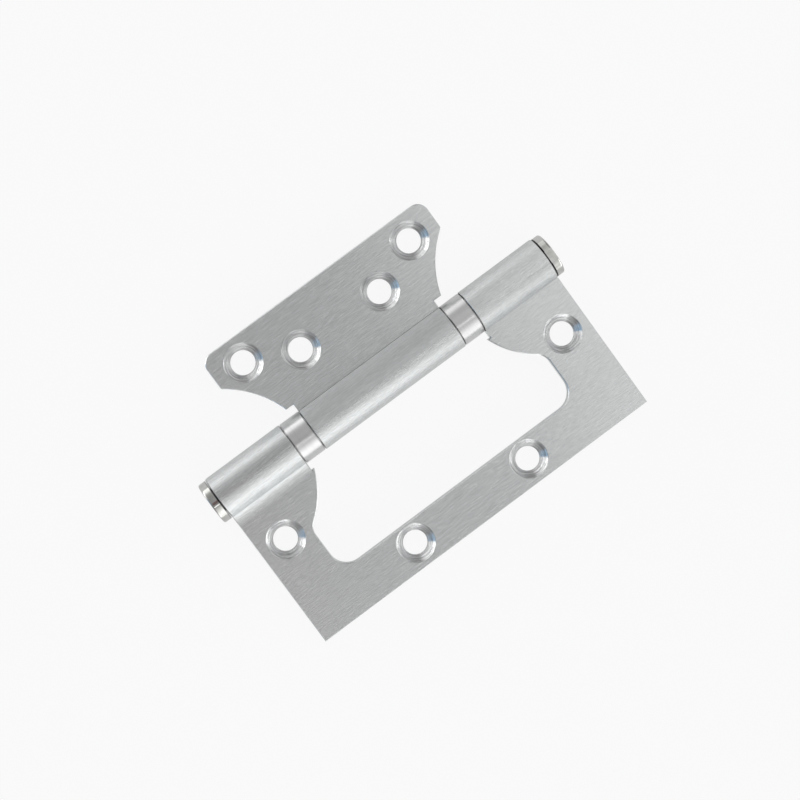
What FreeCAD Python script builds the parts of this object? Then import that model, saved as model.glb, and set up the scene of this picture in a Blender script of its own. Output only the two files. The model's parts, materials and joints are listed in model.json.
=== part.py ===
import FreeCAD, Part
import math
import os

import Sketcher

# Flush ball bearing hinge, laid open flat with its countersunk faces up. The origin is the middle of the pin:
# +X runs along the barrel to the capped end, +Y to the door leaf, -Y to the frame leaf and +Z out of the faces
# that carry the countersinks. The sheet's mid-plane passes through the pin, so that the door leaf turns half
# a turn and lies inside the frame leaf's cut-out, in the same plane. Lengths are in millimetres.

SIZES = {
    # The sheet that both leaves are stamped and rolled from.
    "leaf_length": 100.0,
    "sheet_thickness": 2.5,
    "bend_radius": 2.5,
    "seam_gap": 0.12,
    "edge_break": 0.2,
    # Frame leaf: the cut-out that the door leaf nests in, an arm beside each end of it and a web beyond it. Next
    # to the barrel each arm swells into a round lobe that overlaps the end of the cut-out.
    "cut_reach": 32.6,
    "cut_corner": 5.0,
    "arm_width": 13.8,
    "web_width": 11.6,
    "lobe_overlap": 10.95,
    "lobe_radius": 23.25,
    "lobe_offset": 0.35,
    "lobe_blend": 4.0,
    # Door leaf: its distance from the cut-out when closed, across the barrel and along it.
    "nest_gap": 2.55,
    "end_gap": 2.6,
    "door_corner": 3.0,
    "door_tip": 0.8,
    # The leaves widen past their necks at this distance from the pin.
    "shoulder_line": 7.9,
    # Barrel: one long knuckle on the door leaf and two on the frame leaf, with a bearing in each space. The
    # frame leaf's knuckles reach past the ends of its cut-out.
    "pin_diameter": 6.7,
    "pin_clearance": 0.05,
    "knuckle_overlap": 8.65,
    "bearing_space": 6.0,
    "knuckle_bevel": 0.2,
    # Countersunk screw holes, in pairs. A margin is measured from the leaf's end or far edge, an inset from the
    # edge of the cut-out and a reach from the pin.
    "screw_hole": 6.2,
    "countersink_width": 10.0,
    "countersink_angle": 90.0,
    "side_hole_margin": 7.2,
    "side_hole_reach": 17.8,
    "web_hole_spacing": 35.0,
    "web_hole_inset": 5.3,
    "end_hole_margin": 8.2,
    "end_hole_far_margin": 6.6,
    "mid_hole_spacing": 24.2,
    "mid_hole_reach": 17.65,
    # Bearings: an outer ring round two grooved races, with caged balls between them.
    "ring_step": 0.1,
    "ring_wall": 0.5,
    "ring_gap": 0.12,
    "ring_bevel": 0.15,
    "race_clearance": 0.1,
    "race_opening": 0.9,
    "groove_clearance": 0.02,
    "ball_diameter": 1.2,
    "ball_count": 10,
    "cage_thickness": 0.5,
    "cage_clearance": 0.15,
    "pocket_clearance": 0.04,
    # Pin head and the pressed cap at its other end. Both stand a hairline off the knuckles.
    "cap_gap": 0.3,
    "cap_diameter": 11.3,
    "cap_thickness": 2.1,
    "cap_round": 0.5,
    "press_length": 6.0,
    "pin_lead": 0.6,
    "spigot_diameter": 3.6,
    "spigot_length": 8.0,
    "spigot_end_gap": 0.6,
    "notch_width": 3.4,
    "notch_depth": 0.75,
}

doc = FreeCAD.newDocument("FlushBearingHinge")
sizes = doc.addObject("Spreadsheet::Sheet", "Sizes")
for row, (alias, value) in enumerate(SIZES.items(), start=1):
    sizes.set(f"A{row}", alias.replace("_", " "))
    sizes.set(f"B{row}", str(value))
    sizes.setAlias(f"B{row}", alias)
doc.recompute()

# Lengths that follow from the sheet of sizes, as expressions.
HALF_SHEET = "(Sizes.sheet_thickness / 2)"
LEAF_END = "(Sizes.leaf_length / 2)"
PIN_R = "(Sizes.pin_diameter / 2)"
BORE_R = f"({PIN_R} + Sizes.pin_clearance)"
BARREL_R = f"({BORE_R} + Sizes.sheet_thickness)"
CUT_END = f"({LEAF_END} - Sizes.arm_width)"
FRAME_REACH = "(Sizes.cut_reach + Sizes.web_width)"
FRAME_FACE = f"({CUT_END} - Sizes.knuckle_overlap)"
LOBE_CENTRE = f"({CUT_END} - Sizes.lobe_overlap + Sizes.lobe_radius)"
DOOR_FACE = f"({FRAME_FACE} - Sizes.bearing_space)"
DOOR_END = f"({CUT_END} - Sizes.end_gap)"
DOOR_REACH = "(Sizes.cut_reach - Sizes.nest_gap)"
DOOR_ARC = "(Sizes.lobe_radius + Sizes.end_gap)"
RING_R = f"({BARREL_R} - Sizes.ring_step)"
RACE_R = f"({RING_R} - Sizes.ring_wall)"
PITCH_R = f"(({PIN_R} + {RACE_R}) / 2)"
GROOVE_R = "(Sizes.ball_diameter / 2 + Sizes.groove_clearance)"
CAP_R = "(Sizes.cap_diameter / 2)"
CAP_SEAT = f"({LEAF_END} + Sizes.cap_gap)"
CAP_FACE = f"({CAP_SEAT} + Sizes.cap_thickness)"
BEARING_MIDDLE = f"({DOOR_FACE} + Sizes.bearing_space / 2)"


def measure(expression):
    return float(sizes.evalExpression(expression))


# Where an arc about a lobe's centre reaches a given distance from the pin, on the side that the leaf lies on,
# and where it reaches a given distance from the middle. The centres lie a little towards the door leaf.
def lobe_x(radius, reach, side):
    return f"({LOBE_CENTRE} - sqrt({radius} ^ 2 - ({reach} - {side} * Sizes.lobe_offset) ^ 2))"


def lobe_y(radius, end, side):
    return f"(sqrt({radius} ^ 2 - ({LOBE_CENTRE} - {end}) ^ 2) + {side} * Sizes.lobe_offset)"


# The two bearings lie either side of the middle, at plus and minus the same distances.
def along(side, expression):
    return f"({side} * {expression})"


def origin_item(body, role):
    return next(item for item in body.Origin.OriginFeatures if item.Role == role)


def new_body(node):
    body = doc.addObject("PartDesign::Body", node)
    body.Label = node
    return body


def new_sketch(body, name, role, offset=None):
    sketch = body.newObject("Sketcher::SketchObject", f"{body.Name}_{name}")
    sketch.AttachmentSupport = [(origin_item(body, role), "")]
    sketch.MapMode = "FlatFace"
    if offset:
        sketch.setExpression("AttachmentOffset.Base.z", offset)
    return sketch


def bind(sketch, kind, *where, expression):
    index = sketch.addConstraint(Sketcher.Constraint(kind, *where, measure(expression)))
    sketch.setExpression(f"Constraints[{index}]", expression)


def pin_down(sketch, geometry, position, x, y):
    for kind, expression, axis in (("DistanceX", x, -2), ("DistanceY", y, -1)):
        if expression == "0":
            sketch.addConstraint(Sketcher.Constraint("PointOnObject", geometry, position, axis))
        else:
            bind(sketch, kind, -1, 1, geometry, position, expression=expression)


# A closed outline. Each corner is (x, y), or (x, y, radius, turn) where an arc leads on to the next corner:
# the turn is ANTICLOCKWISE or CLOCKWISE, with LONG_WAY added where the arc passes more than half a circle.
ANTICLOCKWISE = ("anticlockwise",)
CLOCKWISE = ("clockwise",)
LONG_WAY = ("long way",)


def arc_between(start, end, radius, turn):
    chord = end - start
    rise = math.sqrt(radius ** 2 - chord.Length ** 2 / 4)
    forward = "anticlockwise" in turn
    inward = 1 if forward else -1
    if "long way" in turn:
        rise = -rise
    normal = FreeCAD.Vector(-chord.y, chord.x, 0) * (inward / chord.Length)
    centre = (start + end) * 0.5 + normal * rise
    first, last = (start, end) if forward else (end, start)
    angles = [math.atan2(point.y - centre.y, point.x - centre.x) for point in (first, last)]
    return Part.ArcOfCircle(Part.Circle(centre, FreeCAD.Vector(0, 0, 1), radius), *angles), forward


def outline(sketch, corners):
    ends = []
    for index, corner in enumerate(corners):
        following = corners[(index + 1) % len(corners)]
        start = FreeCAD.Vector(measure(corner[0]), measure(corner[1]), 0)
        end = FreeCAD.Vector(measure(following[0]), measure(following[1]), 0)
        if len(corner) == 2:
            geometry = sketch.addGeometry(Part.LineSegment(start, end), False)
            ends.append((geometry, 1, 2))
        else:
            arc, forward = arc_between(start, end, measure(corner[2]), corner[3])
            geometry = sketch.addGeometry(arc, False)
            ends.append((geometry, 1, 2) if forward else (geometry, 2, 1))
    for index, (geometry, _, tail) in enumerate(ends):
        ahead, head, _ = ends[(index + 1) % len(ends)]
        sketch.addConstraint(Sketcher.Constraint("Coincident", geometry, tail, ahead, head))
    for corner, (geometry, head, _) in zip(corners, ends):
        pin_down(sketch, geometry, head, corner[0], corner[1])
        if len(corner) > 2:
            bind(sketch, "Radius", geometry, expression=corner[2])


def circle_at(sketch, x, y, radius):
    centre = FreeCAD.Vector(measure(x), measure(y), 0)
    geometry = sketch.addGeometry(Part.Circle(centre, FreeCAD.Vector(0, 0, 1), measure(radius)), False)
    pin_down(sketch, geometry, 3, x, y)
    bind(sketch, "Radius", geometry, expression=radius)


def pad(body, name, sketch, length, both_ways=False):
    feature = body.newObject("PartDesign::Pad", f"{body.Name}_{name}")
    feature.Profile = sketch
    feature.Midplane = both_ways
    feature.setExpression("Length", length)
    return feature


def pocket(body, name, sketch):
    feature = body.newObject("PartDesign::Pocket", f"{body.Name}_{name}")
    feature.Profile = sketch
    feature.Type = "ThroughAll"
    feature.Midplane = True
    return feature


def revolve(body, name, sketch):
    feature = body.newObject("PartDesign::Revolution", f"{body.Name}_{name}")
    feature.Profile = sketch
    feature.ReferenceAxis = (sketch, ["H_Axis"])
    feature.Angle = 360.0
    return feature


def mirror(body, name, features):
    feature = body.newObject("PartDesign::Mirrored", f"{body.Name}_{name}")
    feature.Originals = features
    feature.MirrorPlane = (origin_item(body, "YZ_Plane"), [""])
    body.Tip = feature
    return feature


def soften(body, kind, name, size, chosen):
    doc.recompute()
    base = body.Tip
    edges = [f"Edge{index}" for index, edge in enumerate(base.Shape.Edges, start=1) if chosen(edge)]
    feature = body.newObject(f"PartDesign::{kind}", f"{body.Name}_{name}")
    feature.Base = (base, edges)
    feature.setExpression("Radius" if kind == "Fillet" else "Size", size)
    return feature


def near(first, second):
    return abs(first - second) < 1e-4


# An upright edge of the sheet at the given distance from the middle and from the pin.
def upright_at(x, y):
    def chosen(edge):
        ends = [vertex.Point for vertex in edge.Vertexes]
        if len(ends) != 2 or not near(ends[0].x, ends[1].x) or not near(ends[0].y, ends[1].y):
            return False
        return near(abs(ends[0].x), measure(x)) and near(ends[0].y, measure(y))
    return chosen


# The outline of the countersunk face, which stamping leaves with a slightly broken edge.
def upper_outline(edge):
    level = all(near(vertex.Point.z, measure(HALF_SHEET)) for vertex in edge.Vertexes)
    return level and not all(near(abs(vertex.Point.y), measure(BARREL_R)) for vertex in edge.Vertexes)


def screw_holes(body, name, x, y):
    sketch = new_sketch(body, f"{name}_centres", "XY_Plane", HALF_SHEET)
    circle_at(sketch, x, y, "(Sizes.screw_hole / 2)")
    doc.recompute()
    hole = body.newObject("PartDesign::Hole", f"{body.Name}_{name}")
    hole.Profile = sketch
    hole.ThreadType = "None"
    hole.DepthType = "ThroughAll"
    hole.HoleCutType = "Countersink"
    hole.HoleCutCustomValues = True
    hole.setExpression("Diameter", "Sizes.screw_hole")
    hole.setExpression("HoleCutDiameter", "Sizes.countersink_width")
    hole.setExpression("HoleCutCountersinkAngle", "Sizes.countersink_angle")
    return mirror(body, f"{name}_pair", [hole])


# The rolled end of a leaf that lies on the given side of the pin. The sheet bends down behind its own face,
# passes under the pin and over it, and its free end stops against that face with a hairline between them.
def roll_section(sketch, side):
    ahead, back = (ANTICLOCKWISE, CLOCKWISE) if side > 0 else (CLOCKWISE, ANTICLOCKWISE)
    free_edge = f"({HALF_SHEET} + Sizes.seam_gap)"
    bend_centre_z = f"({HALF_SHEET} + Sizes.bend_radius)"
    bend_y = f"sqrt(({BARREL_R} + Sizes.bend_radius) ^ 2 - {bend_centre_z} ^ 2)"
    share = f"({BARREL_R} / ({BARREL_R} + Sizes.bend_radius))"

    def across(reach):
        return f"({side} * {reach})"
    outline(sketch, [
        (across(f"sqrt({BORE_R} ^ 2 - {free_edge} ^ 2)"), free_edge),
        (across(f"sqrt({BARREL_R} ^ 2 - {free_edge} ^ 2)"), free_edge, BARREL_R, ahead + LONG_WAY),
        (across(f"({bend_y} * {share})"), f"(-{bend_centre_z} * {share})", "Sizes.bend_radius", back),
        (across(bend_y), f"(-{HALF_SHEET})"),
        (across(bend_y), HALF_SHEET),
        (across(f"sqrt({BORE_R} ^ 2 - {HALF_SHEET} ^ 2)"), HALF_SHEET, BORE_R, back + LONG_WAY),
    ])


# The end of a knuckle is broken all round by a small turned bevel.
def bevel_rim(body, name, face, inward):
    section = new_sketch(body, f"{name}_section", "XY_Plane")
    deep = f"({BARREL_R} - Sizes.knuckle_bevel)"
    outline(section, [
        (face, BARREL_R),
        (face, deep),
        (f"({face} + {inward} * Sizes.knuckle_bevel)", BARREL_R),
    ])
    groove = body.newObject("PartDesign::Groove", f"{body.Name}_{name}")
    groove.Profile = section
    groove.ReferenceAxis = (section, ["H_Axis"])
    groove.Angle = 360.0
    return groove


def make_frame_leaf():
    body = new_body("frame_leaf")
    lobe = "Sizes.lobe_radius"
    shoulder = lobe_x(lobe, "Sizes.shoulder_line", -1)
    lobe_end = f"(-{lobe_y(lobe, CUT_END, -1)})"
    inner_edge = f"(-{BARREL_R})"
    plan = new_sketch(body, "plan", "XY_Plane")
    outline(plan, [
        (f"(-{LEAF_END})", inner_edge),
        (f"(-{LEAF_END})", f"(-{FRAME_REACH})"),
        (LEAF_END, f"(-{FRAME_REACH})"),
        (LEAF_END, inner_edge),
        (FRAME_FACE, inner_edge),
        (FRAME_FACE, "(-Sizes.shoulder_line)"),
        (shoulder, "(-Sizes.shoulder_line)", lobe, ANTICLOCKWISE),
        (CUT_END, lobe_end),
        (CUT_END, "(-Sizes.cut_reach)"),
        (f"(-{CUT_END})", "(-Sizes.cut_reach)"),
        (f"(-{CUT_END})", lobe_end, lobe, ANTICLOCKWISE),
        (f"(-{shoulder})", "(-Sizes.shoulder_line)"),
        (f"(-{FRAME_FACE})", "(-Sizes.shoulder_line)"),
        (f"(-{FRAME_FACE})", inner_edge),
    ])
    pad(body, "blank", plan, "Sizes.sheet_thickness", both_ways=True)
    soften(body, "Fillet", "cut_corners", "Sizes.cut_corner", upright_at(CUT_END, "(-Sizes.cut_reach)"))
    soften(body, "Fillet", "lobe_blends", "Sizes.lobe_blend", upright_at(CUT_END, lobe_end))
    soften(body, "Chamfer", "broken_edge", "Sizes.edge_break", upper_outline)
    roll = new_sketch(body, "roll_profile", "YZ_Plane", FRAME_FACE)
    roll_section(roll, -1)
    knuckle = pad(body, "knuckle", roll, f"{LEAF_END} - {FRAME_FACE}")
    mirror(body, "knuckles", [knuckle])
    inner_bevel = bevel_rim(body, "inner_bevel", FRAME_FACE, 1)
    mirror(body, "inner_bevels", [inner_bevel])
    outer_bevel = bevel_rim(body, "outer_bevel", LEAF_END, -1)
    mirror(body, "outer_bevels", [outer_bevel])
    screw_holes(body, "side_hole", f"({LEAF_END} - Sizes.side_hole_margin)", "(-Sizes.side_hole_reach)")
    screw_holes(body, "web_hole", "(Sizes.web_hole_spacing / 2)", "(-Sizes.cut_reach - Sizes.web_hole_inset)")
    return body


def make_door_leaf():
    body = new_body("door_leaf")
    shoulder = lobe_x(DOOR_ARC, "Sizes.shoulder_line", 1)
    tip_y = lobe_y(DOOR_ARC, DOOR_END, 1)
    plan = new_sketch(body, "plan", "XY_Plane")
    outline(plan, [
        (f"(-{DOOR_FACE})", BARREL_R),
        (DOOR_FACE, BARREL_R),
        (DOOR_FACE, "Sizes.shoulder_line"),
        (shoulder, "Sizes.shoulder_line", DOOR_ARC, CLOCKWISE),
        (DOOR_END, tip_y),
        (DOOR_END, DOOR_REACH),
        (f"(-{DOOR_END})", DOOR_REACH),
        (f"(-{DOOR_END})", tip_y, DOOR_ARC, CLOCKWISE),
        (f"(-{shoulder})", "Sizes.shoulder_line"),
        (f"(-{DOOR_FACE})", "Sizes.shoulder_line"),
    ])
    pad(body, "blank", plan, "Sizes.sheet_thickness", both_ways=True)
    soften(body, "Fillet", "far_corners", "Sizes.door_corner", upright_at(DOOR_END, DOOR_REACH))
    soften(body, "Fillet", "tips", "Sizes.door_tip", upright_at(DOOR_END, tip_y))
    soften(body, "Chamfer", "broken_edge", "Sizes.edge_break", upper_outline)
    roll = new_sketch(body, "roll_profile", "YZ_Plane")
    roll_section(roll, 1)
    pad(body, "knuckle", roll, f"2 * {DOOR_FACE}", both_ways=True)
    bevel = bevel_rim(body, "bevel", DOOR_FACE, -1)
    mirror(body, "bevels", [bevel])
    end_x = f"({DOOR_END} - Sizes.end_hole_margin)"
    screw_holes(body, "end_hole", end_x, f"({DOOR_REACH} - Sizes.end_hole_far_margin)")
    screw_holes(body, "mid_hole", "(Sizes.mid_hole_spacing / 2)", "Sizes.mid_hole_reach")
    return body


# The outer rim of the pin's head or of the cap.
def cap_rim(side):
    def chosen(edge):
        round_edge = isinstance(edge.Curve, Part.Circle) and near(edge.Curve.Radius, measure(CAP_R))
        return round_edge and near(edge.Curve.Center.x, side * measure(CAP_FACE))
    return chosen


def make_pin():
    body = new_body("hinge_pin")
    press_end = f"(Sizes.press_length - {LEAF_END})"
    lead = f"({BORE_R} - {PIN_R})"
    socket = f"({CAP_SEAT} - Sizes.spigot_length - Sizes.spigot_end_gap)"
    section = new_sketch(body, "section", "XY_Plane")
    outline(section, [
        (f"(-{CAP_FACE})", "0"),
        (socket, "0"),
        (socket, "(Sizes.spigot_diameter / 2)"),
        (CAP_SEAT, "(Sizes.spigot_diameter / 2)"),
        (CAP_SEAT, f"({PIN_R} - Sizes.pin_lead)"),
        (f"({CAP_SEAT} - Sizes.pin_lead)", PIN_R),
        (f"({press_end} + {lead})", PIN_R),
        (press_end, BORE_R),
        (f"(-{CAP_SEAT})", BORE_R),
        (f"(-{CAP_SEAT})", CAP_R),
        (f"(-{CAP_FACE})", CAP_R),
    ])
    revolve(body, "turned", section)
    soften(body, "Fillet", "head_round", "Sizes.cap_round", cap_rim(-1))
    return body


def make_cap():
    body = new_body("pin_cap")
    spigot = f"({CAP_SEAT} - Sizes.spigot_length)"
    section = new_sketch(body, "section", "XY_Plane")
    outline(section, [
        (spigot, "0"),
        (CAP_FACE, "0"),
        (CAP_FACE, CAP_R),
        (CAP_SEAT, CAP_R),
        (CAP_SEAT, "(Sizes.spigot_diameter / 2)"),
        (spigot, "(Sizes.spigot_diameter / 2)"),
    ])
    revolve(body, "turned", section)
    soften(body, "Fillet", "rim_round", "Sizes.cap_round", cap_rim(1))
    notch = new_sketch(body, "notch_profile", "YZ_Plane", CAP_SEAT)
    half = "(Sizes.notch_width / 2)"
    floor = f"({CAP_R} - Sizes.notch_depth)"
    brow = f"({CAP_R} + Sizes.notch_depth)"
    outline(notch, [(f"(-{half})", floor), (half, floor), (half, brow), (f"(-{half})", brow)])
    cut = body.newObject("PartDesign::Pocket", "pin_cap_notch")
    cut.Profile = notch
    cut.Reversed = True
    cut.setExpression("Length", "Sizes.cap_thickness * 2")
    return body


def make_ring(side, node):
    body = new_body(node)
    near_x = along(side, f"({DOOR_FACE} + Sizes.ring_gap)")
    far_x = along(side, f"({FRAME_FACE} - Sizes.ring_gap)")
    section = new_sketch(body, "section", "XY_Plane")
    outline(section, [(near_x, RACE_R), (far_x, RACE_R), (far_x, RING_R), (near_x, RING_R)])
    revolve(body, "turned", section)

    def outer_rim(edge):
        return isinstance(edge.Curve, Part.Circle) and near(edge.Curve.Radius, measure(RING_R))
    soften(body, "Chamfer", "rims", "Sizes.ring_bevel", outer_rim)
    return body


# A race seats on a knuckle's end face and carries the balls in a rounded groove. The frame-side race is
# pressed into the ring; the door-side race turns inside it.
def make_race(side, node, seat, direction, rim):
    body = new_body(node)
    back = along(side, seat)
    face = along(side, f"({BEARING_MIDDLE} + {direction} * Sizes.race_opening / 2)")
    groove = f"sqrt({GROOVE_R} ^ 2 - (Sizes.race_opening / 2) ^ 2)"
    hole = f"({PIN_R} + Sizes.race_clearance)"
    turn = ANTICLOCKWISE if side * direction > 0 else CLOCKWISE
    section = new_sketch(body, "section", "XY_Plane")
    outline(section, [
        (back, hole),
        (face, hole),
        (face, f"({PITCH_R} - {groove})", GROOVE_R, turn),
        (face, f"({PITCH_R} + {groove})"),
        (face, rim),
        (back, rim),
    ])
    revolve(body, "turned", section)
    return body


def make_cage(side, node):
    body = new_body(node)
    half = "(Sizes.cage_thickness / 2)"
    low = f"({PIN_R} + Sizes.cage_clearance)"
    high = f"({RACE_R} - Sizes.cage_clearance)"
    middle = along(side, BEARING_MIDDLE)
    section = new_sketch(body, "section", "XY_Plane")
    first = f"({middle} - {half})"
    last = f"({middle} + {half})"
    outline(section, [(first, low), (last, low), (last, high), (first, high)])
    revolve(body, "ring", section)
    seat = new_sketch(body, "pocket_profile", "YZ_Plane", middle)
    circle_at(seat, PITCH_R, "0", "(Sizes.ball_diameter / 2 + Sizes.pocket_clearance)")
    window = pocket(body, "pocket", seat)
    pattern = body.newObject("PartDesign::PolarPattern", f"{node}_pockets")
    pattern.Originals = [window]
    pattern.Axis = (origin_item(body, "X_Axis"), [""])
    pattern.Angle = 360.0
    pattern.setExpression("Occurrences", "Sizes.ball_count")
    body.Tip = pattern
    return body


def make_ball(side, node, index):
    ball = doc.addObject("Part::Sphere", node)
    ball.Label = node
    ball.setExpression("Radius", "Sizes.ball_diameter / 2")
    turn = f"({index} * 360 / Sizes.ball_count)"
    ball.setExpression(".Placement.Base.x", along(side, BEARING_MIDDLE))
    ball.setExpression(".Placement.Base.y", f"{PITCH_R} * cos({turn})")
    ball.setExpression(".Placement.Base.z", f"{PITCH_R} * sin({turn})")
    return ball


def make_bearing(side, name):
    inner_rim = f"({RACE_R} - Sizes.race_clearance)"
    pieces = [
        make_ring(side, f"bearing_ring_{name}"),
        make_race(side, f"frame_race_{name}", FRAME_FACE, 1, RACE_R),
        make_race(side, f"door_race_{name}", DOOR_FACE, -1, inner_rim),
        make_cage(side, f"ball_cage_{name}"),
    ]
    for index in range(SIZES["ball_count"]):
        pieces.append(make_ball(side, f"ball_{name}_{index + 1}", index))
    return pieces


nodes = [make_frame_leaf(), make_door_leaf(), make_pin(), make_cap()]
nodes += make_bearing(-1, "lower")
nodes += make_bearing(1, "upper")
doc.recompute()

failed = [item.Name for item in doc.Objects if {"Invalid", "Error"} & set(item.State)]
if failed:
    raise RuntimeError(f"these objects did not build: {failed}")
for node in nodes:
    if node.Shape.isNull() or not node.Shape.isValid() or len(node.Shape.Solids) != 1:
        raise RuntimeError(f"{node.Label} is not one sound solid")

os.makedirs("parts", exist_ok=True)
for node in nodes:
    node.Shape.exportStep(f"parts/{node.Label}.step")
    box = node.Shape.optimalBoundingBox()
    print(f"{node.Label}: {node.Shape.Volume:.2f} mm3, x {box.XMin:.2f} to {box.XMax:.2f}, "
          f"y {box.YMin:.2f} to {box.YMax:.2f}, z {box.ZMin:.2f} to {box.ZMax:.2f}")
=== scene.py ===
import json
import math

import bpy
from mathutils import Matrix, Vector


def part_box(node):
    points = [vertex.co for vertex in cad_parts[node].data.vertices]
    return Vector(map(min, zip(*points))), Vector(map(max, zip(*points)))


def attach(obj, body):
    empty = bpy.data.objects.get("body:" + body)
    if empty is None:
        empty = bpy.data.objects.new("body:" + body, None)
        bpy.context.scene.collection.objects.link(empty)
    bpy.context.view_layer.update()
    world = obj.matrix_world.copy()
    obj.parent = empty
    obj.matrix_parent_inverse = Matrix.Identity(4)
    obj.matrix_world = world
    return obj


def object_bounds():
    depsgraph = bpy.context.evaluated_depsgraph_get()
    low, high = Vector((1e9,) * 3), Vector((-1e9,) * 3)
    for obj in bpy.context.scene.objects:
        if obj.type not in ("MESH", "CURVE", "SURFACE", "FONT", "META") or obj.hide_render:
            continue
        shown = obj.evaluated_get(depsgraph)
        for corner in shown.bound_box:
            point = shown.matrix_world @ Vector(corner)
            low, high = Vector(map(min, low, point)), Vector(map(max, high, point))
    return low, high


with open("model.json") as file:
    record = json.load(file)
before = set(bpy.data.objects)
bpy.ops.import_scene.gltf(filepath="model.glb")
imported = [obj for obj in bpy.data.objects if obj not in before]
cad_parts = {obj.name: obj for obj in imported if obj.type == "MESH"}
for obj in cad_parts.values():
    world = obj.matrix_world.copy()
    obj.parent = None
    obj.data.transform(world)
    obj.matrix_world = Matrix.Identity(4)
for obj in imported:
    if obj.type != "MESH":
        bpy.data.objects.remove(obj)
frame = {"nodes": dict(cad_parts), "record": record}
cadBox = [list(corner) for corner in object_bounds()]
scene = bpy.context.scene
mm = 0.001

# Places on the barrel and the leaves, read from the CAD pieces and the record.
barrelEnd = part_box("frame_leaf")[1].x
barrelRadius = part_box("frame_leaf")[1].z
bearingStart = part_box("door_race_upper")[0].x
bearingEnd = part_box("frame_race_upper")[1].x
mounts = {mount["name"]: mount for mount in frame["record"]["mounts"]}
sheetFace = -mounts["frame_leaf_back"]["pos_m"][2]
hair = 0.05 * mm  # keeps a test on a place clear of the surface itself
print("hinge loaded,", len(frame["nodes"]), "CAD pieces")


# Small helpers for node trees.
def setInputs(tree, node, sockets):
    for name, value in sockets.items():
        if isinstance(value, bpy.types.NodeSocket):
            tree.links.new(value, node.inputs[name])
        else:
            node.inputs[name].default_value = value


def addNode(tree, kind, sockets=None, **settings):
    node = tree.nodes.new(kind)
    for name, value in settings.items():
        setattr(node, name, value)
    setInputs(tree, node, sockets or {})
    return node


def maths(tree, operation, first, *others):
    for other in others or (0.0,):  # a lone value goes through once
        first = addNode(tree, "ShaderNodeMath", {0: first, 1: other}, operation=operation).outputs[0]
    return first


def fade(tree, value, start, stop, low=0.0, high=1.0, curve="SMOOTHSTEP"):
    node = addNode(tree, "ShaderNodeMapRange", {
        "Value": value, "From Min": start, "From Max": stop, "To Min": low, "To Max": high},
        interpolation_type=curve)
    return node.outputs["Result"]


def ramp(tree, factor, stops):
    node = addNode(tree, "ShaderNodeValToRGB", {"Fac": factor})
    elements = node.color_ramp.elements
    while len(elements) < len(stops):
        elements.new(0.5)
    for element, (position, shade) in zip(elements, stops):
        element.position = position
        colour = shade if isinstance(shade, tuple) else (shade, shade, shade)
        element.color = (*colour, 1.0)
    return node.outputs["Color"]


def mixColour(tree, factor, first, second, blend="MIX"):
    node = addNode(tree, "ShaderNodeMix", {0: factor, 6: first, 7: second},
                   data_type="RGBA", blend_type=blend)
    return node.outputs[2]


def splitAxes(tree, vector):
    return addNode(tree, "ShaderNodeSeparateXYZ", {0: vector}).outputs


def stretchedNoise(tree, place, perMetre, detail=2.0, roughness=0.5):
    mapping = addNode(tree, "ShaderNodeMapping", {"Vector": place, "Scale": perMetre})
    noise = addNode(tree, "ShaderNodeTexNoise", {
        "Vector": mapping.outputs["Vector"], "Scale": 1.0, "Detail": detail, "Roughness": roughness})
    return noise.outputs["Fac"]


def bumped(tree, height, depth, strength=1.0):
    bump = addNode(tree, "ShaderNodeBump", {"Height": height, "Strength": strength, "Distance": depth})
    return bump.outputs["Normal"]


def nearLine(tree, value, centre, reach, core=0.4):
    away = maths(tree, "ABSOLUTE", maths(tree, "SUBTRACT", value, centre))
    return fade(tree, away, reach, reach * core)


def direction(tree, x, y, z):
    return addNode(tree, "ShaderNodeCombineXYZ", {"X": x, "Y": y, "Z": z}).outputs["Vector"]


def alongBarrel(tree):
    return direction(tree, 1.0, 0.01, 0.02)  # a little askew, so that no face points exactly this way


def newMaterial(name):
    material = bpy.data.materials.new(name)
    material.use_nodes = True
    tree = material.node_tree
    tree.nodes.clear()
    output = addNode(tree, "ShaderNodeOutputMaterial")
    surface = addNode(tree, "ShaderNodeBsdfPrincipled", {"Metallic": 1.0})
    tree.links.new(surface.outputs["BSDF"], output.inputs["Surface"])
    place = addNode(tree, "ShaderNodeTexCoord").outputs["Object"]
    return material, tree, surface, place


noiseRange = (0.3, 0.7)  # where nearly all the values of a noise pattern lie

# Both leaves: stainless sheet with a fine grain along the barrel, which blurs reflections across it.
satinLook = {
    "dark": 0.64,
    "light": 0.82,
    "tint": (0.985, 1.006, 1.008),
    "toneRange": (0.36, 0.64),
    "grainPerMetre": (700.0, 5600.0, 5600.0),
    "streaksPerMetre": (230.0, 3200.0, 3200.0),
    "cloudsPerMetre": (18.0, 60.0, 60.0),
    "fineness": 0.6,
    "grainShare": 0.45,
    "streakShare": 0.45,
    "cloudShare": 0.1,
    "grainDepth": 0.0009 * mm,
    "roughness": (0.25, 0.275),
    "acrossGrain": 0.97,
    "quarterTurn": 0.25,
    "middleRoughness": 0.5,  # the door knuckle, coarser on the side of its own leaf
    "middleFade": (-0.5 * mm, 2.2 * mm),
    # painted shade: the colour darkened into the joints on the barrel
    "jointShade": (0.12, 0.114, 0.108, 1.0),
    "jointReach": 0.16 * mm,
    "endReach": 0.2 * mm,
}
specks = {"perMetre": 420.0, "edge": (0.03, 0.06), "strength": 0.3, "colour": (0.95, 0.95, 0.95, 1.0)}
pits = {
    "perMetre": 330.0,
    "edge": (0.07, 0.11),
    "strength": 0.7,
    "colour": (0.16, 0.16, 0.16, 1.0),
    "sparing": 0.72,  # the share of places left without a pit
    "nearCap": (40.0 * mm, 47.0 * mm),
}


def tinted(shade, tint):
    return tuple(shade * part for part in tint)


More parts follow.
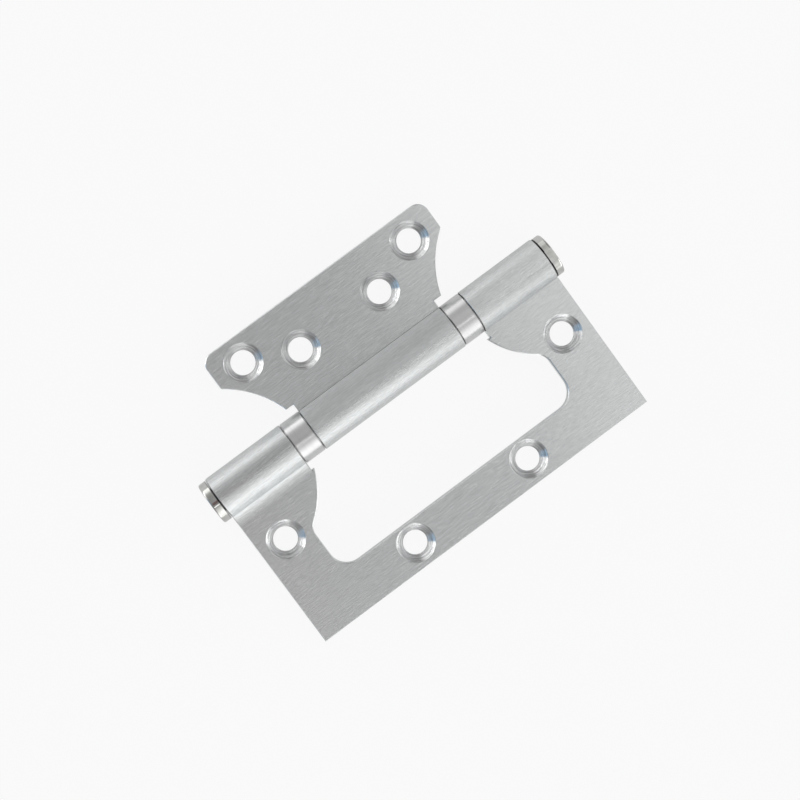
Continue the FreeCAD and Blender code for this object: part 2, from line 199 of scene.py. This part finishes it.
def satinSheet():
    look = satinLook
    material, tree, surface, place = newMaterial("satinSheet")
    axes = splitAxes(tree, place)
    along = maths(tree, "ABSOLUTE", axes["X"])
    fineness = look["fineness"]
    grain = stretchedNoise(tree, place, look["grainPerMetre"], 2.0, fineness)
    streaks = stretchedNoise(tree, place, look["streaksPerMetre"], 3.0, fineness)
    clouds = stretchedNoise(tree, place, look["cloudsPerMetre"])
    tone = maths(tree, "ADD", maths(tree, "MULTIPLY", grain, look["grainShare"]),
                 maths(tree, "MULTIPLY", streaks, look["streakShare"]),
                 maths(tree, "MULTIPLY", clouds, look["cloudShare"]))
    shades = [tinted(look[name], look["tint"]) for name in ("dark", "light")]
    colour = ramp(tree, tone, list(zip(look["toneRange"], shades)))

    # Specks left by handling: a few bright pin-pricks.
    cells = addNode(tree, "ShaderNodeTexVoronoi", {"Vector": place, "Scale": specks["perMetre"]})
    pricks = ramp(tree, cells.outputs["Distance"], list(zip(specks["edge"], (1.0, 0.0))))
    colour = mixColour(tree, maths(tree, "MULTIPLY", pricks, specks["strength"]), colour, specks["colour"])

    # A few small pits on the barrel near the cap.
    onBarrel = maths(tree, "LESS_THAN", maths(tree, "ABSOLUTE", axes["Y"]), barrelRadius - 2 * hair)
    cells = addNode(tree, "ShaderNodeTexVoronoi", {"Vector": place, "Scale": pits["perMetre"]})
    lot = addNode(tree, "ShaderNodeSeparateColor", {"Color": cells.outputs["Color"]}).outputs["Red"]
    holes = ramp(tree, cells.outputs["Distance"], list(zip(pits["edge"], (1.0, 0.0))))
    pitted = maths(tree, "MULTIPLY", maths(tree, "GREATER_THAN", lot, pits["sparing"]),
                   fade(tree, axes["X"], *pits["nearCap"], curve="LINEAR"), holes, onBarrel)
    colour = mixColour(tree, maths(tree, "MULTIPLY", pitted, pits["strength"]), colour, pits["colour"])

    # Painted shade in the joints between the knuckles, the bearings and the ends: the base colour darkens
    # there in place of shade in the gaps.
    paintedShade = maths(tree, "ADD", nearLine(tree, along, bearingStart, look["jointReach"]),
                 nearLine(tree, along, bearingEnd, look["jointReach"]),
                 nearLine(tree, along, barrelEnd, look["endReach"]))
    colour = mixColour(tree, maths(tree, "MULTIPLY", paintedShade, onBarrel), colour, look["jointShade"])

    ownSide = fade(tree, axes["Y"], *look["middleFade"])
    onMiddle = maths(tree, "MULTIPLY", maths(tree, "LESS_THAN", axes["Y"], barrelRadius + hair),
                     maths(tree, "LESS_THAN", along, bearingStart + hair))
    roughness = addNode(tree, "ShaderNodeMix", {
        0: maths(tree, "MULTIPLY", ownSide, onMiddle),
        2: fade(tree, streaks, *noiseRange, *look["roughness"], curve="LINEAR"),
        3: look["middleRoughness"]}, data_type="FLOAT")
    setInputs(tree, surface, {
        "Base Color": colour, "Roughness": roughness.outputs[0], "Anisotropic": look["acrossGrain"],
        "Anisotropic Rotation": look["quarterTurn"], "Tangent": alongBarrel(tree),
        "Normal": bumped(tree, grain, look["grainDepth"])})
    return material


# Bearing rings, turned on a lathe: hair-fine lines round the ring.
turnedLook = {
    "dark": (0.69, 0.69, 0.69),
    "light": (0.75, 0.75, 0.74625),
    "linesPerMetre": (6000.0, 60.0, 60.0),
    "lineDepth": 0.002 * mm,
    "roughness": 0.29,
    "alongRing": 0.35,
}


def turnedSteel():
    look = turnedLook
    material, tree, surface, place = newMaterial("turnedSteel")
    lines = stretchedNoise(tree, place, look["linesPerMetre"])
    colour = ramp(tree, lines, list(zip(noiseRange, (look["dark"], look["light"]))))
    setInputs(tree, surface, {
        "Base Color": colour, "Roughness": look["roughness"], "Anisotropic": look["alongRing"],
        "Tangent": alongBarrel(tree), "Normal": bumped(tree, lines, look["lineDepth"])})
    return material


# Pin head and cap: polished, a little warmer than the sheet, with smears and faint turning lines.
polishedLook = {
    "dark": (0.53, 0.53, 0.505),
    "light": (0.66, 0.66, 0.64),
    "toneRange": (0.3, 0.55),
    "smearsPerMetre": (420.0, 420.0, 420.0),
    "linesPerMetre": (9000.0, 90.0, 90.0),
    "lineDepth": 0.005 * mm,
    "lineStrength": 0.2,
    "roughness": (0.15, 0.08),
    # painted shade: the colour darkened into the gap under the head and the cap
    "gapShade": (0.05, 0.05, 0.05, 1.0),
    "gapMiddle": 0.15 * mm,  # from the barrel's end
    "gapReach": 0.3 * mm,
}


def polishedSteel():
    look = polishedLook
    material, tree, surface, place = newMaterial("polishedSteel")
    smears = stretchedNoise(tree, place, look["smearsPerMetre"], 3.0)
    lines = stretchedNoise(tree, place, look["linesPerMetre"])
    colour = ramp(tree, smears, list(zip(look["toneRange"], (look["dark"], look["light"]))))
    # Painted shade in the gap under the head and the cap: the base colour darkens there.
    along = maths(tree, "ABSOLUTE", splitAxes(tree, place)["X"])
    paintedShade = nearLine(tree, along, barrelEnd + look["gapMiddle"], look["gapReach"])
    colour = mixColour(tree, paintedShade, colour, look["gapShade"])
    setInputs(tree, surface, {
        "Base Color": colour,
        "Roughness": fade(tree, smears, *noiseRange, *look["roughness"], curve="LINEAR"),
        "Normal": bumped(tree, lines, look["lineDepth"], look["lineStrength"])})
    return material


# Races, cages and balls inside the bearings.
bearingLook = {
    "dark": 0.45,
    "light": 0.62,
    "grainPerMetre": (2600.0, 2600.0, 2600.0),
    "grainDepth": 0.003 * mm,
    "grainStrength": 0.1,
    "roughness": 0.18,
}


def bearingSteel():
    look = bearingLook
    material, tree, surface, place = newMaterial("bearingSteel")
    grain = stretchedNoise(tree, place, look["grainPerMetre"], 3.0)
    setInputs(tree, surface, {
        "Base Color": ramp(tree, grain, list(zip(noiseRange, (look["dark"], look["light"])))),
        "Roughness": look["roughness"],
        "Normal": bumped(tree, grain, look["grainDepth"], look["grainStrength"])})
    return material


finishes = {"satin_steel": satinSheet(), "turned_steel": turnedSteel(),
            "polished_steel": polishedSteel(), "bearing_steel": bearingSteel()}
slotOfNode = {part["node"]: part["material_slot"] for part in frame["record"]["subparts"]}
for nodeName, node in frame["nodes"].items():
    node.data.materials.clear()
    node.data.materials.append(finishes[slotOfNode[nodeName]])
print("finishes on the CAD pieces")


# Machined countersinks: a cone with turning marks, the same at each of a leaf's four holes.
countersink = {
    "rimRadius": 4.98 * mm,
    "boreRadius": mounts["frame_side_holes"]["dims"]["hole_r_mm"] * mm,
    "top": sheetFace + 0.01 * mm,
    "turns": 7,
    "markDepth": 0.0028 * mm,
    "segments": 96,
    "rows": 48,
    "backing": 0.12 * mm,
    "backRows": 2,
    "weld": 0.002 * mm,
}
countersink["depth"] = countersink["rimRadius"] - countersink["boreRadius"]  # 90 degrees
coneLook = {
    "dark": (0.56, 0.565, 0.57),
    "light": (0.93, 0.935, 0.94),
    "toneRange": (0.38, 0.62),
    "marksPerMetre": (260.0, 260.0, 6000.0),
    "roughness": 0.25,
    "acrossMarks": 0.92,
}
holePairs = {
    "frame": ("frame_side_holes", "frame_web_holes"),
    "door": ("door_end_holes", "door_mid_holes"),
}


def machinedCone():
    look = coneLook
    material, tree, surface, place = newMaterial("machinedCone")
    marks = stretchedNoise(tree, place, look["marksPerMetre"])
    # The turning marks run round the hole, so a reflection spreads up and down the slope.
    upTheSlope = direction(tree, 0.001, 0.002, 1.0)
    setInputs(tree, surface, {
        "Base Color": ramp(tree, marks, list(zip(look["toneRange"], (look["dark"], look["light"])))),
        "Roughness": look["roughness"], "Anisotropic": look["acrossMarks"], "Tangent": upTheSlope})
    return material


def floatInput(tree, name, value):
    socket = tree.interface.new_socket(name=name, in_out="INPUT", socket_type="NodeSocketFloat")
    socket.default_value = value
    return socket.identifier


def openCone(tree, sizes, rows):
    cone = addNode(tree, "GeometryNodeMeshCone", {
        "Vertices": countersink["segments"], "Side Segments": rows, "Radius Top": sizes["Rim radius"],
        "Radius Bottom": sizes["Bore radius"], "Depth": sizes["Depth"]}, fill_type="NONE")
    return cone.outputs["Mesh"]


def shiftedOut(tree, mesh, distance):
    normal = addNode(tree, "GeometryNodeInputNormal").outputs[0]
    shift = addNode(tree, "ShaderNodeVectorMath", {0: normal, "Scale": distance}, operation="SCALE")
    moved = addNode(tree, "GeometryNodeSetPosition", {"Geometry": mesh, "Offset": shift.outputs["Vector"]})
    return moved.outputs["Geometry"]


def countersinkTree(finish):
    tree = bpy.data.node_groups.new("countersinks", "GeometryNodeTree")
    for side in ("INPUT", "OUTPUT"):
        tree.interface.new_socket(name="Geometry", in_out=side, socket_type="NodeSocketGeometry")
    labels = {"Rim radius": "rimRadius", "Bore radius": "boreRadius", "Depth": "depth",
              "Mark depth": "markDepth", "Turns": "turns", "Backing": "backing"}
    keys = {floatInput(tree, label, countersink[key]): key for label, key in labels.items()}
    sizes = addNode(tree, "NodeGroupInput").outputs
    height = splitAxes(tree, addNode(tree, "GeometryNodeInputPosition").outputs[0])["Z"]
    share = maths(tree, "DIVIDE", height, sizes["Depth"])

    # The cone, seen from its open side, with a shallow wave for the turning marks.
    inward = addNode(tree, "GeometryNodeFlipFaces", {"Mesh": openCone(tree, sizes, countersink["rows"])})
    phase = maths(tree, "MULTIPLY", share, sizes["Turns"], 2 * math.pi)
    wave = maths(tree, "MULTIPLY", maths(tree, "SINE", phase), sizes["Mark depth"])
    marked = shiftedOut(tree, inward.outputs["Mesh"], wave)

    # A second cone behind the first, bowed into the sheet, closes the skin to a thin ring.
    bowing = maths(tree, "MULTIPLY", maths(tree, "SINE", maths(tree, "MULTIPLY", share, math.pi)),
                   sizes["Backing"])
    bowed = shiftedOut(tree, openCone(tree, sizes, countersink["backRows"]), bowing)

    halves = addNode(tree, "GeometryNodeJoinGeometry")
    for half in (marked, bowed):
        tree.links.new(half, halves.inputs["Geometry"])
    ring = addNode(tree, "GeometryNodeMergeByDistance", {
        "Geometry": halves.outputs["Geometry"], "Distance": countersink["weld"]})
    smooth = addNode(tree, "GeometryNodeSetShadeSmooth", {"Geometry": ring.outputs["Geometry"]})
    copies = addNode(tree, "GeometryNodeInstanceOnPoints", {
        "Points": sizes["Geometry"], "Instance": smooth.outputs["Geometry"]})
    solid = addNode(tree, "GeometryNodeRealizeInstances", {"Geometry": copies.outputs["Instances"]})
    dressed = addNode(tree, "GeometryNodeSetMaterial", {
        "Geometry": solid.outputs["Geometry"], "Material": finish})
    addNode(tree, "NodeGroupOutput", {"Geometry": dressed.outputs["Geometry"]})
    return tree, keys


def makePlain(piece, name):
    evaluated = piece.evaluated_get(bpy.context.evaluated_depsgraph_get())
    mesh = bpy.data.meshes.new_from_object(evaluated)
    mesh.name = name
    piece.modifiers.clear()
    spots = piece.data
    piece.data = mesh
    bpy.data.meshes.remove(spots)


def makeCountersinks():
    tree, keys = countersinkTree(machinedCone())
    floor = countersink["top"] - countersink["depth"]
    for body, pairs in holePairs.items():
        spots = []
        for pair in pairs:
            reach = mounts[pair]["dims"]["spacing_x_mm"] * mm / 2
            spots += [Vector((x, mounts[pair]["pos_m"][1], floor)) for x in (-reach, reach)]
        mesh = bpy.data.meshes.new(f"{body}CountersinkSpots")
        mesh.from_pydata(spots, [], [])
        piece = bpy.data.objects.new(f"{body}Countersinks", mesh)
        scene.collection.objects.link(piece)
        modifier = piece.modifiers.new("countersinks", "NODES")
        modifier.node_group = tree
        for identifier, key in keys.items():
            modifier[identifier] = float(countersink[key])
        makePlain(piece, f"{body}Countersinks")
        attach(piece, body)


makeCountersinks()
print("countersinks turned")


# Beside the knuckle at the pin's head the sheet still bows up a little before it lies flat.
knuckleBow = {
    "margin": 0.2 * mm,  # from each end of the knuckle
    "reach": 3.5 * mm,
    "seat": 0.45 * mm,  # how far it runs into the knuckle's wall
    "rise": 0.554 * mm,
    "power": 3,
    "face": sheetFace - 0.004 * mm,  # just under the sheet's own face, so the bow grows out of it
    "root": sheetFace - 0.15 * mm,
    "steps": 40,
    "sharpFrom": 30.0,
}


def makeKnuckleBow():
    bow = knuckleBow
    start, stop, steps = -barrelRadius - bow["reach"], bow["seat"] - barrelRadius, bow["steps"]
    profile = []
    for step in range(steps + 1):
        y = start + (stop - start) * step / steps
        profile.append((y, bow["face"] + bow["rise"] * ((y - start) / bow["reach"]) ** bow["power"]))
    profile += [(stop, bow["root"]), (start, bow["root"])]
    count = len(profile)
    ends = (bow["margin"] - barrelEnd, -bearingEnd - bow["margin"])
    corners = [(x, y, z) for x in ends for y, z in profile]
    faces = [(i, count + i, count + (i + 1) % count, (i + 1) % count) for i in range(count)]
    faces += [tuple(range(count)), tuple(reversed(range(count, 2 * count)))]
    mesh = bpy.data.meshes.new("knuckleBow")
    mesh.from_pydata(corners, [], faces)
    mesh.shade_smooth()
    mesh.set_sharp_from_angle(angle=math.radians(bow["sharpFrom"]))
    mesh.materials.append(finishes["satin_steel"])
    piece = bpy.data.objects.new("knuckleBow", mesh)
    scene.collection.objects.link(piece)
    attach(piece, "frame")


makeKnuckleBow()
print("knuckle bow added")


# Floor and camera.
studio = {
    "floorSize": 8.0,
    "floorColour": (0.75, 0.75, 0.75, 1.0),
    "whiteToCamera": 0.9,
    "whiteInMetal": 0.45,
    "cameraPlace": (-0.028474, 0.042481, 0.508128),
    "cameraTurn": (-2.56475, -5.89685, -36.24575),
    "lens": 92.8759,
    "sensor": 36.0,
    "nearest": 0.01,
}


def makeFloor():
    low = cadBox[0][2]
    half = studio["floorSize"] / 2
    mesh = bpy.data.meshes.new("studioFloor")
    mesh.from_pydata([(-half, -half, low), (half, -half, low), (half, half, low), (-half, half, low)],
                     [], [(0, 1, 2, 3)])
    floor = bpy.data.objects.new("studioFloor", mesh)
    scene.collection.objects.link(floor)
    material = bpy.data.materials.new("paleFloor")
    material.use_nodes = True
    tree = material.node_tree
    tree.nodes.clear()
    matt = addNode(tree, "ShaderNodeBsdfDiffuse", {"Color": studio["floorColour"]})
    glow = addNode(tree, "ShaderNodeEmission", {"Strength": 1.0})
    path = addNode(tree, "ShaderNodeLightPath").outputs
    seen = maths(tree, "MULTIPLY", path["Is Camera Ray"], studio["whiteToCamera"])
    mirrored = maths(tree, "MULTIPLY",
                     maths(tree, "MAXIMUM", path["Is Glossy Ray"], path["Is Transmission Ray"]),
                     studio["whiteInMetal"])
    mixed = addNode(tree, "ShaderNodeMixShader", {
        0: maths(tree, "MAXIMUM", seen, mirrored), 1: matt.outputs["BSDF"], 2: glow.outputs["Emission"]})
    addNode(tree, "ShaderNodeOutputMaterial", {"Surface": mixed.outputs["Shader"]})
    mesh.materials.append(material)


# The room: white low down on both sides, dimmer over the hinge.
room = {
    "across": [  # from the frame leaf's side (0) over the top (0.5) to the door leaf's side (1)
        (0.0, 0.97), (0.1, 1.02), (0.2, 0.97), (0.27, 0.76), (0.33, 0.52), (0.38, 0.45), (0.44, 0.43),
        (0.5, 0.44), (0.62, 0.49), (0.76, 0.42), (0.82, 0.42), (0.87, 0.66), (0.92, 1.08), (1.0, 1.25),
    ],
    "around": [  # by compass direction, lower down: white, dark and blue-grey walls
        (0.0, (0.20, 0.26, 0.34)), (0.03, 0.08), (0.08, 0.22), (0.12, 0.45), (0.15, 2.5), (0.19, 2.5),
        (0.235, 1.05), (0.272, 1.05), (0.295, 4.0), (0.40, 4.0), (0.43, 0.9), (0.52, 0.5), (0.60, 0.3),
        (0.68, 0.25), (0.725, 1.2), (0.79, 1.2), (0.81, 3.8), (0.91, 3.8), (0.935, (0.24, 0.42, 0.62)),
        (0.985, (0.23, 0.37, 0.51)),
    ],
    "wallTop": (0.26, 0.48),
    "glowTop": (0.24, 0.08),  # the brightest walls reach no higher
    "overhead": (0.5, 0.95),
    # From the head's end (0) to the cap's end (1).
    "wallsAlong": [(0.0, 1.0), (0.48, 1.0), (0.53, 0.86), (0.57, 0.60), (0.7, 0.7), (1.0, 1.0)],
    "ceilingAlong": [(0.0, 0.58), (0.46, 0.58), (0.54, 0.50), (0.565, 1.28), (1.0, 1.28)],
    "ceilingStart": [(0.33, 0.0), (0.44, 1.0)],  # measured across, as above
    "ceilingStop": [(0.66, 0.0), (0.86, 1.0)],
    "darkPatch": {"towards": (-0.065, -0.01), "reach": (0.05, 0.16), "core": 0.65,
                  "colour": (0.10, 0.055, 0.05, 1.0)},
    "strength": 1.4,
}
white = (1.0, 1.0, 1.0, 1.0)


def underPatch(tree, view):
    patch = room["darkPatch"]
    scales = [1 / reach for reach in patch["reach"]]
    shifts = [-spot * scale for spot, scale in zip(patch["towards"], scales)]
    offset = addNode(tree, "ShaderNodeMapping", {
        "Vector": view, "Location": (*shifts, 0.0), "Scale": (*scales, 0.0)}, vector_type="POINT")
    away = addNode(tree, "ShaderNodeVectorMath", {0: offset.outputs["Vector"]}, operation="LENGTH")
    return fade(tree, away.outputs["Value"], 1.0, patch["core"])


def makeRoom():
    world = bpy.data.worlds.new("studio")
    scene.world = world
    world.use_nodes = True
    tree = world.node_tree
    tree.nodes.clear()
    view = addNode(tree, "ShaderNodeTexCoord").outputs["Generated"]
    way = splitAxes(tree, view)
    tilt = maths(tree, "ARCTAN2", way["Y"], way["Z"])
    slant = maths(tree, "ADD", maths(tree, "DIVIDE", tilt, math.pi), 0.5)
    turn = maths(tree, "ARCTAN2", way["Y"], way["X"])
    compass = maths(tree, "ADD", maths(tree, "DIVIDE", turn, 2 * math.pi), 0.5)
    along = maths(tree, "ADD", maths(tree, "MULTIPLY", way["X"], 0.5), 0.5)
    wallsAlong = ramp(tree, along, room["wallsAlong"])

    around = ramp(tree, compass, room["around"])
    dimmer = mixColour(tree, 1.0, around, white, "DARKEN")
    walls = mixColour(tree, fade(tree, way["Z"], *room["glowTop"]), dimmer, around)
    walls = mixColour(tree, 1.0, walls, wallsAlong, "MULTIPLY")

    lengthwise = mixColour(tree, ramp(tree, slant, room["ceilingStart"]), wallsAlong,
                           ramp(tree, along, room["ceilingAlong"]))
    lengthwise = mixColour(tree, ramp(tree, slant, room["ceilingStop"]), lengthwise, white)
    upper = mixColour(tree, 1.0, ramp(tree, slant, room["across"]), lengthwise, "MULTIPLY")
    fading = mixColour(tree, fade(tree, way["Z"], *room["overhead"]), dimmer, white)
    upper = mixColour(tree, 1.0, upper, fading, "MULTIPLY")

    shade = mixColour(tree, fade(tree, way["Z"], *room["wallTop"]), walls, upper)
    shade = mixColour(tree, underPatch(tree, view), shade, room["darkPatch"]["colour"])
    sky = addNode(tree, "ShaderNodeBackground", {"Color": shade, "Strength": room["strength"]})
    addNode(tree, "ShaderNodeOutputWorld", {"Surface": sky.outputs["Background"]})


# Light panels: place, size in metres and the brightness of their face.
panels = {
    "frameSidePanel": {"place": (-0.3, -1.2, 0.6), "size": (1.2, 0.5), "brightness": 0.2},
    "topStrip": {"place": (0.0, -0.25, 0.8), "size": (1.2, 0.05), "brightness": 1.6},
}


def makePanels():
    for name, panel in panels.items():
        lamp = bpy.data.lights.new(name, "AREA")
        lamp.shape = "RECTANGLE"
        lamp.size, lamp.size_y = panel["size"]
        lamp.energy = panel["brightness"] * math.pi * panel["size"][0] * panel["size"][1]
        box = bpy.data.objects.new(name, lamp)
        scene.collection.objects.link(box)
        box.location = panel["place"]
        box.rotation_euler = (-Vector(panel["place"])).to_track_quat("-Z", "Y").to_euler()
        box.visible_camera = False


def makeCamera():
    data = bpy.data.cameras.new("photoCamera")
    data.lens = studio["lens"]
    data.sensor_width = studio["sensor"]
    data.clip_start = studio["nearest"]
    camera = bpy.data.objects.new("photoCamera", data)
    scene.collection.objects.link(camera)
    camera.location = studio["cameraPlace"]
    camera.rotation_euler = [math.radians(angle) for angle in studio["cameraTurn"]]
    scene.camera = camera


makeFloor()
makeRoom()
makePanels()
makeCamera()
scene.view_settings.view_transform = "Standard"
print("studio ready")
